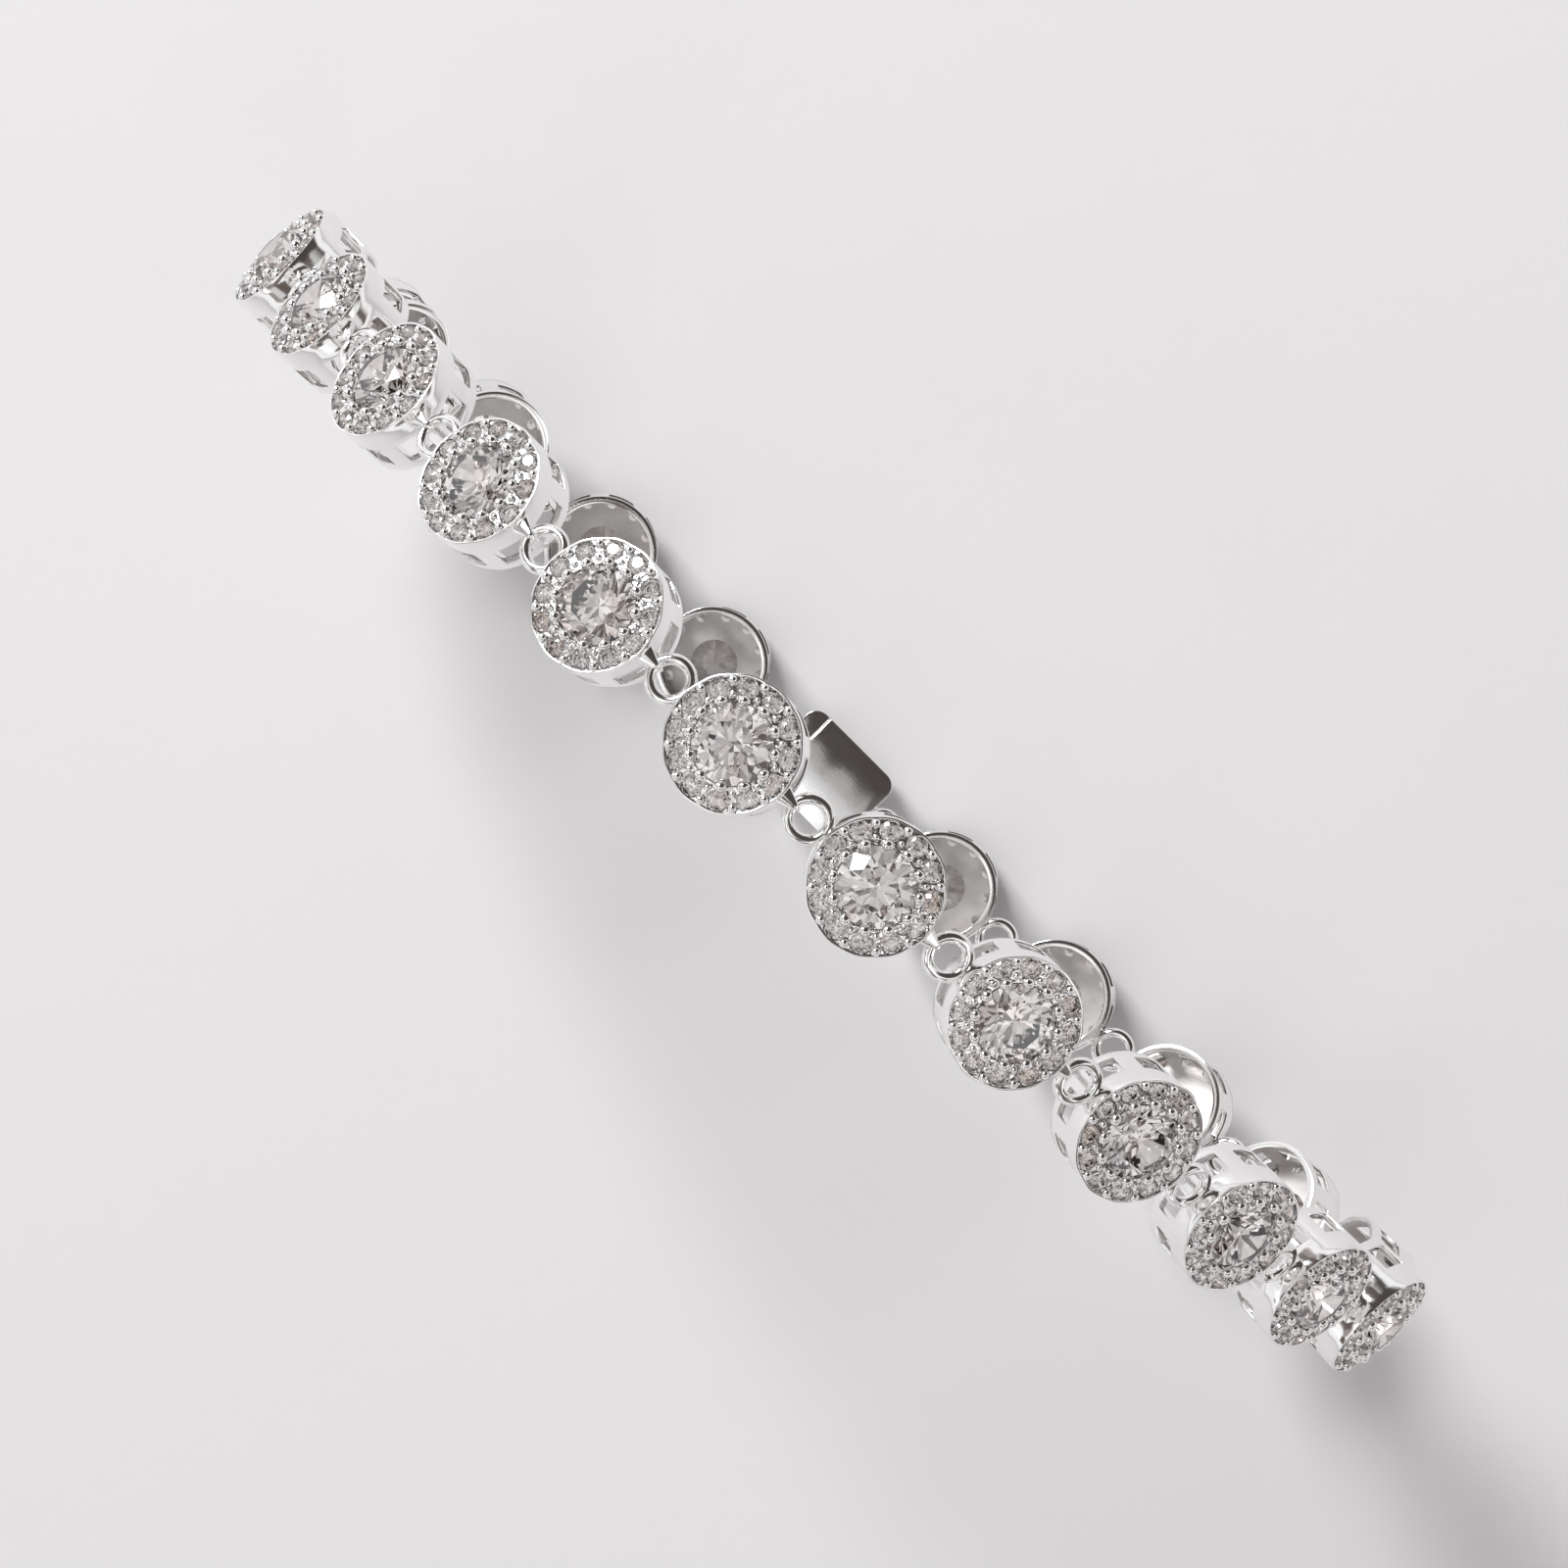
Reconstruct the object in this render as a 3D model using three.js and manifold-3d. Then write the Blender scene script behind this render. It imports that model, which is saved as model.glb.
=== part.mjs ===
// Tennis bracelet: round halo settings, each hung by its ring on the tongue of the one before.
// Millimetres, +Z up. The origin is where the crest of the loop rests, between the two topmost settings.
// X runs along the crest, Y across the bracelet. The closed loop keeps the form that it has when worn.
import * as THREE from "three";
import { mergeVertices } from "three/addons/utils/BufferGeometryUtils.js";
import Module from "manifold-3d";

// Setting
const setting_diameter = 6.0;
const setting_height = 3.0;
const hinge_below_rim = 0.9;
const wall_thickness = 0.35;
const plate_thickness = 0.5;
const base_draw_in = 0.1;
const rim_width = 0.06;

// Windows in the side wall
const windows_round = 8;
const window_width = 1.35;
const window_height = 1.25;
const base_ring_height = 0.5;

// Stones
const centre_stone_diameter = 3.5;
const crown_height = 0.55;
const pavilion_depth = 1.5;
const table_diameter = 2.0;
const seat_clearance = 0.1;
const halo_stones_per_link = 12;
const halo_stone_diameter = 0.87;
const halo_table_diameter = 0.5;
const halo_stone_rise = 0.22;
const halo_stone_sink = 0.08;

// Ring and tongue
const ring_outer_diameter = 2.3;
const ring_wire = 0.46;
const ring_sink = 0.22;
const tongue_gap = 0.475;
const tongue_root_width = 0.95;
const tongue_tip_width = 0.2;
const tongue_thickness = 0.18;
const hook_clearance = 0.14;

// Clasp
const clasp_width = 4.6;
const clasp_height = 2.4;
const clasp_corner = 0.8;
const clasp_edge = 0.25;

// Loop
const crest_radius = 36.5;
const crest_span = 157;
const crest_easing = 0.08;
const sharpest_corner = 2.6;
// How far the last links of the crest's +X end lean towards +Y, from the crest outwards.
const end_leans = [
  { link_from_end: 2, lean: 3 },
  { link_from_end: 1, lean: 6 },
];

// Facets of the round shapes
const wall_sides = 12;
const ring_segments = 10;
const wire_sides = 5;
const curve_steps = 2;

// Worked out from the above
const setting_radius = setting_diameter / 2;
const stone_radius = centre_stone_diameter / 2;
const rim_z = hinge_below_rim;
const base_z = rim_z - setting_height;
const plate_z = rim_z - plate_thickness;
const ring_mid_radius = (ring_outer_diameter - ring_wire) / 2;
const ring_centre_x = -(setting_radius - ring_sink + ring_outer_diameter / 2);
const ring_reach = ring_mid_radius - ring_centre_x;
const tongue_reach = setting_radius + tongue_gap;
const pitch = ring_reach + tongue_reach;

const silver = new THREE.MeshStandardMaterial({ color: 0xe6e4e3, roughness: 0.12, metalness: 1 });
const zirconia = new THREE.MeshStandardMaterial({ color: 0xf0f0f2, roughness: 0.05, metalness: 0 });

const wasm = await Module();
wasm.setup();

const radians = THREE.MathUtils.degToRad;

// A closed mesh as a solid that can be joined and cut.
function solid(geometry) {
  const bare = geometry.clone();
  bare.deleteAttribute("normal");
  bare.deleteAttribute("uv");
  const merged = mergeVertices(bare, 1e-5);
  const mesh = new wasm.Mesh({
    numProp: 3,
    vertProperties: Float32Array.from(merged.attributes.position.array),
    triVerts: Uint32Array.from(merged.index.array),
  });
  return new wasm.Manifold(mesh);
}

function geometry_of(body) {
  const mesh = body.getMesh();
  const geometry = new THREE.BufferGeometry();
  geometry.setAttribute("position", new THREE.BufferAttribute(mesh.vertProperties, 3));
  geometry.setIndex(new THREE.BufferAttribute(mesh.triVerts, 1));
  return geometry;
}

// A closed outline of [radius, height] turned about Z.
function turned(outline, sides) {
  const points = outline.map(([radius, height]) => new THREE.Vector2(radius, height));
  const geometry = new THREE.LatheGeometry(points, sides);
  return geometry.rotateX(Math.PI / 2);
}

// The radius of the centre stone's pavilion at a height, widened by the seat's clearance.
function seat_radius(height) {
  const depth = rim_z - height;
  return stone_radius * (1 - depth / pavilion_depth) + seat_clearance;
}

function wall_and_plate() {
  const inner = setting_radius - wall_thickness;
  const outline = [
    [setting_radius - base_draw_in, base_z],
    [setting_radius, rim_z],
    [seat_radius(rim_z), rim_z],
    [seat_radius(plate_z), plate_z],
    [inner, plate_z],
    [inner - base_draw_in, base_z],
    [setting_radius - base_draw_in, base_z],
  ];
  return solid(turned(outline, wall_sides));
}

// The four flank windows. Those beside the ring and the tongue stay closed here.
function windows() {
  const through = 2 * wall_thickness + base_draw_in;
  const reach = setting_radius - wall_thickness / 2 - base_draw_in / 2;
  const step = 360 / windows_round;
  const cutters = [];
  for (let index = 0; index < windows_round; index += 1) {
    const angle = radians(step * (index + 0.5));
    if (Math.abs(Math.sin(angle)) < Math.SQRT1_2) continue;
    const box = new THREE.BoxGeometry(through, window_width, window_height);
    box.translate(reach, 0, base_z + base_ring_height + window_height / 2);
    cutters.push(solid(box.rotateZ(angle)));
  }
  return cutters;
}

// A small halo stone: a square table over a square girdle turned by an eighth, with eight facets between them
// and a straight foot sunk in the plate.
function halo_stone() {
  const girdle_radius = halo_stone_diameter / 2;
  const table_radius = halo_table_diameter / 2;
  const levels = [
    { radius: girdle_radius, turn: 0, height: rim_z - halo_stone_sink },
    { radius: girdle_radius, turn: 0, height: rim_z },
    { radius: table_radius, turn: 45, height: rim_z + halo_stone_rise },
  ];
  const corners = 4;
  const positions = [];
  for (const level of levels) {
    for (let corner = 0; corner < corners; corner += 1) {
      const angle = radians((360 * corner) / corners + level.turn);
      positions.push(level.radius * Math.cos(angle), level.radius * Math.sin(angle), level.height);
    }
  }
  const index = [0, 2, 1, 0, 3, 2];
  const top = corners * (levels.length - 1);
  index.push(top, top + 1, top + 2, top, top + 2, top + 3);
  for (let low = 0; low < top; low += corners) {
    for (let corner = 0; corner < corners; corner += 1) {
      const next = (corner + 1) % corners;
      index.push(low + corner, low + next, low + corners + corner);
      index.push(low + corners + corner, low + next, low + corners + next);
    }
  }
  const geometry = new THREE.BufferGeometry();
  geometry.setAttribute("position", new THREE.Float32BufferAttribute(positions, 3));
  geometry.setIndex(index);
  return geometry;
}

function halo() {
  const radius = setting_radius - rim_width - halo_stone_diameter / 2;
  const stones = [];
  for (let index = 0; index < halo_stones_per_link; index += 1) {
    const angle = (2 * Math.PI * index) / halo_stones_per_link;
    const stone = halo_stone().translate(radius, 0, 0);
    stones.push(solid(stone.rotateZ(angle)));
  }
  return stones;
}

// A flat ring of round wire in the setting's plane, its near side sunk in the wall.
function ring() {
  const section = [];
  for (let side = 0; side <= wire_sides; side += 1) {
    const angle = (2 * Math.PI * (side % wire_sides)) / wire_sides;
    section.push([ring_mid_radius + (ring_wire / 2) * Math.cos(angle), (ring_wire / 2) * Math.sin(angle)]);
  }
  return solid(turned(section, ring_segments).translate(ring_centre_x, 0, 0));
}

// The tongue from the side: a band that leaves the wall, turns round the next ring's wire and comes back.
// In plan it narrows evenly from its root to its tip.
function tongue() {
  const inside = ring_wire / 2 + hook_clearance;
  const outside = inside + tongue_thickness;
  const root_x = setting_radius - wall_thickness / 2;
  const hole_x = setting_radius + tongue_thickness / 2;
  const tip_x = tongue_reach + outside;
  const outline = new THREE.Shape();
  outline.moveTo(root_x, -outside);
  outline.absarc(tongue_reach, 0, outside, -Math.PI / 2, Math.PI / 2, false);
  outline.lineTo(root_x, outside);
  const hole = new THREE.Path();
  hole.moveTo(hole_x, -inside);
  hole.absarc(tongue_reach, 0, inside, -Math.PI / 2, Math.PI / 2, false);
  hole.lineTo(hole_x, inside);
  outline.holes.push(hole);
  const settings = { depth: 1, bevelEnabled: false, curveSegments: curve_steps };
  const band = new THREE.ExtrudeGeometry(outline, settings).rotateX(Math.PI / 2).translate(0, 0.5, 0);
  const position = band.attributes.position;
  for (let point = 0; point < position.count; point += 1) {
    const share = (position.getX(point) - root_x) / (tip_x - root_x);
    const width = THREE.MathUtils.lerp(tongue_root_width, tongue_tip_width, share);
    position.setY(point, Math.sign(position.getY(point)) * width / 2);
  }
  return solid(band);
}

function link_geometry() {
  let body = wall_and_plate();
  for (const stone of halo()) body = body.add(stone);
  for (const cutter of windows()) body = body.subtract(cutter);
  return geometry_of(body.add(ring()).add(tongue()));
}

// A round brilliant: an eight-sided table, a sixteen-sided girdle and a pointed pavilion.
function centre_stone_geometry() {
  const table_corners = 8;
  const girdle_corners = 2 * table_corners;
  const positions = [0, 0, rim_z - pavilion_depth];
  const index = [];
  for (let corner = 0; corner < girdle_corners; corner += 1) {
    const angle = (2 * Math.PI * corner) / girdle_corners;
    positions.push(stone_radius * Math.cos(angle), stone_radius * Math.sin(angle), rim_z);
  }
  for (let corner = 0; corner < table_corners; corner += 1) {
    const angle = (2 * Math.PI * corner) / table_corners;
    const radius = table_diameter / 2;
    positions.push(radius * Math.cos(angle), radius * Math.sin(angle), rim_z + crown_height);
  }
  const girdle = (corner) => 1 + (corner + girdle_corners) % girdle_corners;
  const table = (corner) => 1 + girdle_corners + (corner % table_corners);
  for (let corner = 0; corner < girdle_corners; corner += 1) {
    index.push(0, girdle(corner + 1), girdle(corner));
  }
  for (let corner = 0; corner < table_corners; corner += 1) {
    index.push(table(corner), girdle(2 * corner), girdle(2 * corner + 1));
    index.push(table(corner), girdle(2 * corner - 1), girdle(2 * corner));
    index.push(table(corner), girdle(2 * corner + 1), table(corner + 1));
    if (corner > 1) index.push(table(0), table(corner - 1), table(corner));
  }
  const geometry = new THREE.BufferGeometry();
  geometry.setAttribute("position", new THREE.Float32BufferAttribute(positions, 3));
  geometry.setIndex(index);
  return geometry;
}

// A plain box clasp as long as a setting, with a ring and a tongue of its own.
function clasp_geometry() {
  const half_length = setting_radius - clasp_edge;
  const half_width = clasp_width / 2 - clasp_edge;
  const corner = clasp_corner;
  const plan = new THREE.Shape();
  plan.absarc(half_length - corner, half_width - corner, corner, 0, Math.PI / 2, false);
  plan.absarc(corner - half_length, half_width - corner, corner, Math.PI / 2, Math.PI, false);
  plan.absarc(corner - half_length, corner - half_width, corner, Math.PI, 1.5 * Math.PI, false);
  plan.absarc(half_length - corner, corner - half_width, corner, 1.5 * Math.PI, 2 * Math.PI, false);
  const box = new THREE.ExtrudeGeometry(plan, {
    depth: clasp_height - 2 * clasp_edge,
    bevelThickness: clasp_edge,
    bevelSize: clasp_edge,
    bevelSegments: 1,
    curveSegments: curve_steps,
  });
  box.translate(0, 0, rim_z - clasp_height + clasp_edge);
  return geometry_of(solid(box).add(ring()).add(tongue()));
}

// The hinges lie on a round crest that eases towards its ends. Past it the loop turns ever less,
// down to the level clasp.
const turn = 2 * Math.asin(pitch / (2 * crest_radius));
const crest_half_links = Math.round(radians(crest_span) / turn / 2);

function crest_heading(index) {
  const share = (index + 0.5) / (crest_half_links - 0.5);
  return (index + 0.5) * turn * (1 - crest_easing * share ** 2);
}

const crest_end_heading = crest_heading(crest_half_links - 1);

function side_heading(step, steps, corner) {
  const share = 1 - (1 - step / steps) ** corner;
  return crest_end_heading + (Math.PI - crest_end_heading) * share;
}

// The lean of each crest link of one half, and how far they carry the end towards +Y.
function crest_leans(leaning) {
  const leans = new Array(crest_half_links).fill(0);
  if (!leaning) return leans;
  for (const row of end_leans) {
    leans[crest_half_links - row.link_from_end] = radians(row.lean);
  }
  return leans;
}

// Headings and leans of the links of one half of the loop, from the crest down.
function half_links(side_links, corner, leaning) {
  const leans = crest_leans(leaning);
  const drift = leans.reduce((sum, lean) => sum + Math.sin(lean), 0);
  const links = leans.map((lean, index) => ({ heading: crest_heading(index), lean }));
  for (let step = 1; step <= side_links; step += 1) {
    const heading = side_heading(step, side_links + 1, corner);
    links.push({ heading, lean: -Math.asin(drift / side_links) });
  }
  return links;
}

function half_width(links) {
  return links.reduce((sum, link) => sum + pitch * Math.cos(link.lean) * Math.cos(link.heading), 0);
}

// The fewest hidden links that reach the clasp without a sharp corner.
function hidden_links_per_side() {
  let count = 2;
  while (half_width(half_links(count, sharpest_corner, true)) > pitch / 2) count += 1;
  return count;
}

// The corner that brings one half exactly to the clasp's end.
function closed_half(side_links, leaning) {
  let slack = 0.3;
  let tight = sharpest_corner;
  for (let round = 0; round < 60; round += 1) {
    const middle = (slack + tight) / 2;
    const reaches = half_width(half_links(side_links, middle, leaning)) > pitch / 2;
    if (reaches) slack = middle;
    else tight = middle;
  }
  return half_links(side_links, (slack + tight) / 2, leaning);
}

// The hinge points of one half, from the crest's middle down, towards +X or -X.
function half_hinges(links, side) {
  const points = [new THREE.Vector3(0, 0, -base_z)];
  for (const link of links) {
    const step = new THREE.Vector3(
      side * Math.cos(link.lean) * Math.cos(link.heading),
      Math.sin(link.lean),
      -Math.cos(link.lean) * Math.sin(link.heading),
    );
    points.push(points[points.length - 1].clone().addScaledVector(step, pitch));
  }
  return points;
}

function loop_hinges() {
  const side_links = hidden_links_per_side();
  const right = half_hinges(closed_half(side_links, true), 1);
  const left = half_hinges(closed_half(side_links, false), -1);
  return [...left.slice(1).reverse(), ...right];
}

// A piece between two hinges: its own X along the chord, its own Z out of the loop.
function place(mesh, from, to) {
  const along = to.clone().sub(from).normalize();
  const across = new THREE.Vector3(0, 1, 0);
  across.addScaledVector(along, -across.dot(along)).normalize();
  const outward = new THREE.Vector3().crossVectors(along, across);
  mesh.quaternion.setFromRotationMatrix(new THREE.Matrix4().makeBasis(along, across, outward));
  mesh.position.copy(from).addScaledVector(along, ring_reach);
  return mesh;
}

function named(name, geometry, material) {
  const mesh = new THREE.Mesh(geometry, material);
  mesh.name = name;
  return mesh;
}

const bracelet = new THREE.Group();
const hinges = loop_hinges();
const link_shape = link_geometry();
const stone_shape = centre_stone_geometry();
for (let index = 1; index < hinges.length; index += 1) {
  const number = String(index).padStart(2, "0");
  const ends = [hinges[index - 1], hinges[index]];
  bracelet.add(place(named(`link_${number}`, link_shape, silver), ...ends));
  bracelet.add(place(named(`centre_stone_${number}`, stone_shape, zirconia), ...ends));
}
bracelet.add(place(named("clasp", clasp_geometry(), silver), hinges[hinges.length - 1], hinges[0]));

export default bracelet;
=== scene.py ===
"""Tennis bracelet: the finish of its halo settings, cut stones and clasp, in a plain pale studio."""

import math
import random

import bmesh
import bpy
from mathutils import Matrix, Vector


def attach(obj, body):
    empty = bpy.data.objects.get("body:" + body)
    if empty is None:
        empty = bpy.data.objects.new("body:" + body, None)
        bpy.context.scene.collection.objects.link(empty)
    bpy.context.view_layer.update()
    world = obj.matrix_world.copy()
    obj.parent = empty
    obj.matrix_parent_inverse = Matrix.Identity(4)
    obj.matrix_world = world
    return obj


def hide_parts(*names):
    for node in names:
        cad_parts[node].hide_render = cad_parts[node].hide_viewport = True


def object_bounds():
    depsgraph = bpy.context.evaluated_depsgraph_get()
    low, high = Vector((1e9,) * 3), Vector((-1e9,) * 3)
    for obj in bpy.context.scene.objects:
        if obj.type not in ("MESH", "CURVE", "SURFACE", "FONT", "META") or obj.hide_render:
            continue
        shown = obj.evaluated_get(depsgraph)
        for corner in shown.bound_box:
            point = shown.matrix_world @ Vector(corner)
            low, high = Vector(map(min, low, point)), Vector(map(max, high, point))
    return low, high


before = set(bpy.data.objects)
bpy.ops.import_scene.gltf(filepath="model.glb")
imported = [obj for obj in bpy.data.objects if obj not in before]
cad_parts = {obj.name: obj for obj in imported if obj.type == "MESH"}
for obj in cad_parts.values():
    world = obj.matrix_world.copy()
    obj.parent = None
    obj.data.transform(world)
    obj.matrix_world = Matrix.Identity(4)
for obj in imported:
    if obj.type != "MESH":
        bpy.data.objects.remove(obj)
CAD_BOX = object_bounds()

bl_info = {
    "name": "Tennis Bracelet",
    "version": (1, 0, 0),
    "blender": (4, 5, 0),
    "location": "View3D > Sidebar > Bracelet",
    "description": "Builds the halo settings, stones and clasp of a tennis bracelet",
    "category": "Object",
}

MM = 0.001
LINKS = sorted(name.split("_")[-1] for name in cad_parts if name.startswith("link_"))
BODY = "root"
SILVER_SLOT = "polished_silver"
STONE_SLOT = "zirconia"


def length_property(name, millimetres, description):
    """A length that the sidebar shows, given in millimetres and kept in metres."""
    return bpy.props.FloatProperty(
        name=name,
        description=description,
        default=millimetres * MM,
        unit="LENGTH",
        precision=5,
    )


def colour_property(name, colour, description):
    """A colour that the sidebar shows."""
    return bpy.props.FloatVectorProperty(
        name=name,
        description=description,
        default=colour,
        subtype="COLOR",
        size=3,
        min=0,
        max=1,
    )


class BraceletSettingSizes(bpy.types.PropertyGroup):
    """Sizes of one halo setting."""

    diameter: length_property("Diameter", 6.0, "Width of the setting over its rim")
    height: length_property("Height", 3.0, "From the base ring to the rim")
    hinge_below_rim: length_property("Hinge depth", 0.9, "From the rim down to the hinge line")
    wall: length_property("Wall", 0.35, "Thickness of the side wall")
    draw_in: length_property("Draw-in", 0.1, "How much narrower the base is than the rim, per side")
    rim: length_property("Rim", 0.11, "Width of the bright edge round the stones")
    rim_lip: length_property("Rim lip", 0.1, "How far the rim stands over the plate")
    scallop: length_property("Scallop", 0.035, "How far the rim is cut in between the halo stones")
    plate: length_property("Plate", 0.5, "Thickness of the plate that carries the stones")
    crowning: length_property("Crowning", 0.1, "How much higher the plate is at the centre stone")
    base_ring: length_property("Base ring", 0.5, "Height of the ring under the windows")
    window: length_property("Window", 1.25, "Height of a window")
    edge: length_property("Edge", 0.03, "Softness of the polished edges")


class BraceletStoneSizes(bpy.types.PropertyGroup):
    """Sizes of the stones and of what holds them."""

    centre: length_property("Centre stone", 3.5, "Girdle diameter of the centre stone")
    table: length_property("Table", 2.0, "Diameter of the centre stone's table over its corners")
    crown: length_property("Crown", 0.55, "Height of the centre stone's crown")
    pavilion: length_property("Pavilion", 1.5, "Depth of the centre stone's pavilion")
    halo: length_property("Halo stone", 0.87, "Girdle diameter of a halo stone")
    halo_seat: length_property("Halo seat", 0.03, "How far the halo girdles stand over the plate")
    countersink: length_property("Countersink", 0.06, "How much wider a halo seat is than its stone")
    prong_circle: length_property("Prong circle", 3.72, "Diameter of the circle of prong tips")
    prong: length_property("Prong", 0.6, "Width of a prong tip")
    outer_bead: length_property("Outer bead", 0.44, "Diameter of a bead beside the rim")
    inner_bead: length_property("Inner bead", 0.32, "Diameter of a bead between the prongs")
    count: bpy.props.IntProperty(
        name="Halo stones",
        description="Stones round each centre stone",
        default=12,
        min=3,
    )


class BraceletJoinSizes(bpy.types.PropertyGroup):
    """Sizes of the rings, tongues and clasp."""

    ring: length_property("Ring", 2.3, "Outer diameter of a ring")
    wire: length_property("Wire", 0.52, "Thickness of the ring's wire")
    ring_sink: length_property("Ring sink", 0.22, "How deep a ring is let into the wall")
    tongue_gap: length_property("Tongue gap", 0.475, "From the wall to the hinge at the tongue")
    tongue_root: length_property("Tongue root", 1.0, "Width of the tongue at the wall")
    tongue_tip: length_property("Tongue tip", 0.16, "Width of the tongue at its tip")
    tongue_metal: length_property("Tongue metal", 0.13, "Thickness of the tongue's metal")
    tongue_rise: length_property("Tongue rise", 0.55, "Height of the tongue's root over the hinge")
    tongue_depth: length_property("Tongue depth", 0.45, "How far the tongue passes under the hinge")
    hook_play: length_property("Hook play", 0.11, "Room between the wire and the tongue's bend")
    clasp_width: length_property("Clasp width", 4.6, "Width of the clasp's box")
    clasp_height: length_property("Clasp height", 2.4, "Height of the clasp's box")


class BraceletFinish(bpy.types.PropertyGroup):
    """Colours of the metal, the stones and the studio."""

    silver: colour_property("Silver", (0.93, 0.925, 0.92), "Polished silver")
    silver_shade: colour_property("Silver shade", (0.84, 0.83, 0.825), "Silver where it has dulled")
    # Painted shade: this silver is far darker than the polished one and colours the inside of a setting,
    # standing in for the shade inside the drum and under the stones.
    satin_painted_shade: colour_property("Satin silver", (0.50, 0.465, 0.46), "Silver inside a setting")
    stone: colour_property("Stone", (0.91, 0.885, 0.875), "Clear cubic zirconia")
    # Painted reflection: a brownish tint that noise patches mix into the stones, standing in for
    # coloured flashes of light.
    painted_warm_flash: colour_property("Warm flash", (0.80, 0.70, 0.64), "Warm flash inside a stone")
    floor: colour_property("Floor", (0.84, 0.83, 0.84), "The plain floor")


GROUPS = {
    "bracelet_setting": BraceletSettingSizes,
    "bracelet_stones": BraceletStoneSizes,
    "bracelet_joins": BraceletJoinSizes,
    "bracelet_finish": BraceletFinish,
}


class Sizes:
    """The sidebar's lengths in millimetres, with the few that follow from them."""

    def __init__(self, scene):
        for group in (scene.bracelet_setting, scene.bracelet_stones, scene.bracelet_joins):
            for name, value in group.bl_rna.properties.items():
                if value.type == "FLOAT":
                    setattr(self, name, getattr(group, name) / MM)
        self.count = scene.bracelet_stones.count
        self.radius = self.diameter / 2
        self.rim_z = self.hinge_below_rim
        self.base_z = self.rim_z - self.height
        self.top_z = self.rim_z - self.rim_lip
        self.plate_z = self.rim_z - self.plate
        self.girdle = self.centre / 2
        self.halo_circle = self.radius - self.rim - self.halo / 2 + 0.02
        self.ring_mid = (self.ring - self.wire) / 2
        self.ring_x = -(self.radius - self.ring_sink + self.ring / 2)
        self.ring_reach = self.ring_mid - self.ring_x
        self.tongue_reach = self.radius + self.tongue_gap

    def wall_radius(self, height):
        """Outer radius of the side wall at a height."""
        return self.radius - self.draw_in * (self.rim_z - height) / self.height


# Mesh helpers, all in millimetres

CUT_SNAP = 1e-5
SAME_POINT = 1e-4
BEVEL_ANGLE = math.radians(32)


def skin_about_z(bm, outline, steps):
    """Spins a closed outline of (radius, height) points about Z and returns the new faces."""
    known = set(bm.faces)
    corners = [bm.verts.new((radius, 0, height)) for radius, height in outline]
    edges = [bm.edges.new(pair) for pair in zip(corners, corners[1:] + corners[:1])]
    bmesh.ops.spin(
        bm,
        geom=corners + edges,
        cent=(0, 0, 0),
        axis=(0, 0, 1),
        angle=math.tau,
        steps=steps,
        use_merge=True,
    )
    faces = [face for face in bm.faces if face not in known]
    bmesh.ops.recalc_face_normals(bm, faces=faces)
    return faces


def soften(bm, faces, width, angle=BEVEL_ANGLE, segments=2):
    """Bevels the sharp edges of some faces."""
    inside = {edge for face in faces for edge in face.edges}
    sharp = [edge for edge in inside if len(edge.link_faces) == 2 and edge.calc_face_angle(0) > angle]
    bmesh.ops.bevel(
        bm,
        geom=sharp,
        offset=width,
        segments=segments,
        affect="EDGES",
        profile=0.5,
        material=-1,
        clamp_overlap=True,
    )


def add_mesh(bm, other, matrix=Matrix.Identity(4)):
    """Copies another bmesh into this one, moved by a matrix."""
    mesh = bpy.data.meshes.new("part")
    other.to_mesh(mesh)
    mesh.transform(matrix)
    bm.from_mesh(mesh)
    bpy.data.meshes.remove(mesh)


def around(count, radius, height=0.0, offset=0.0):
    """Places on a circle, as matrices whose X points outwards. offset is in steps."""
    for index in range(count):
        turn = Matrix.Rotation(math.tau * (index + offset) / count, 4, "Z")
        yield turn @ Matrix.Translation((radius, 0, height))


def shade(mesh, angle):
    """Smooth faces with edges sharper than the angle kept crisp."""
    for polygon in mesh.polygons:
        polygon.use_smooth = True
    mesh.set_sharp_from_angle(angle=angle)


def slice_mesh(bm, point, normal, clear_outer=True):
    """Cuts a mesh with a plane, and takes off what lies outside it if asked. Returns the cut edges."""
    cut = bmesh.ops.bisect_plane(
        bm,
        geom=bm.verts[:] + bm.edges[:] + bm.faces[:],
        dist=CUT_SNAP,
        plane_co=point,
        plane_no=normal,
        clear_outer=clear_outer,
    )
    return [item for item in cut["geom_cut"] if isinstance(item, bmesh.types.BMEdge)]


def facet(bm, first, second, third):
    """Cuts a flat facet through three points, taking off what lies away from the axis."""
    normal = (second - first).cross(third - first).normalized()
    middle = (first + second + third) / 3
    if normal.dot(middle) < 0:
        normal.negate()
    edges = slice_mesh(bm, middle, normal)
    open_edges = [edge for edge in edges if edge.is_boundary]
    if open_edges:
        bmesh.ops.edgeloop_fill(bm, edges=open_edges)


# The brilliant

FACETS = 8
GIRDLE_SHARE = 0.02
STAR_SHARE = 0.48
LOWER_GIRDLE_SHARE = 0.24


def on_circle(radius, step, height):
    """A point at a number of facet steps round the axis."""
    angle = math.tau * step / FACETS
    return Vector((radius * math.cos(angle), radius * math.sin(angle), height))


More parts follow.
